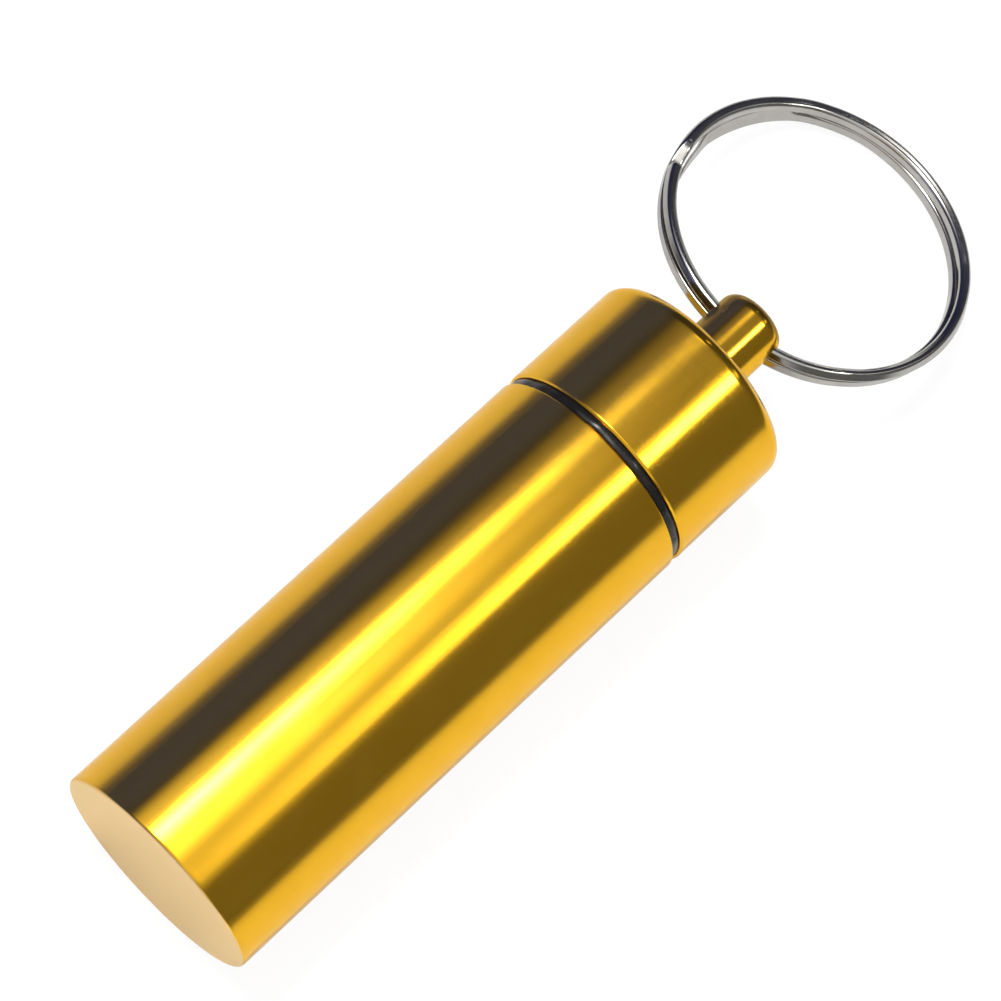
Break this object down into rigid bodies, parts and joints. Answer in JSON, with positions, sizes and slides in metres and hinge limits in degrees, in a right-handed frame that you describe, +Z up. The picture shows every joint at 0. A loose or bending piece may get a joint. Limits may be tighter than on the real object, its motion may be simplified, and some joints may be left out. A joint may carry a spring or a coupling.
{
  "type": "pill fob keychain",
  "caption": "Slim round metal pill capsule with a screw-off cap, a rubber sealing ring between cap and barrel, and a cross-drilled post that carries a split key ring.",
  "frame": {"origin": "on the plane that the fob lies on, under the middle of the whole object's box", "axes": "+X along the barrel from the closed base to the cap and the key ring, +Z up from the plane that the fob lies on, Y along the eye that carries the ring"},
  "size_m": [0.0656, 0.02, 0.014],
  "materials": {
    "gold_anodised": "polished and gold anodised aluminium",
    "seal_rubber": "smooth black rubber",
    "nickel_steel": "bright nickel-plated spring steel"
  },
  "bodies": {
    "barrel": {"barrel": "gold_anodised"},
    "seal": {"o_ring": "seal_rubber"},
    "cap": {"cap": "gold_anodised"},
    "ring": {"split_ring": "nickel_steel"}
  },
  "joints": [
    {"name": "cap_turn", "type": "hinge", "parent": "barrel", "child": "seal", "pos_m": [0.00142, -0.00137, 0.007], "axis": [1, 0, 0], "range_deg": [0, 1800]},
    {"name": "cap_lift", "type": "slide", "parent": "seal", "child": "cap", "axis": [1, 0, 0], "range_m": [0, 0.005]},
    {"name": "ring_swing", "type": "hinge", "parent": "cap", "child": "ring", "pos_m": [0.01418, -0.00137, 0.007], "axis": [0, -1, 0], "range_deg": [-116, 157]}
  ],
  "couplings": [
    {"joint": "cap_turn", "follows": "cap_lift", "rad_per_m": 6283.2}
  ]
}
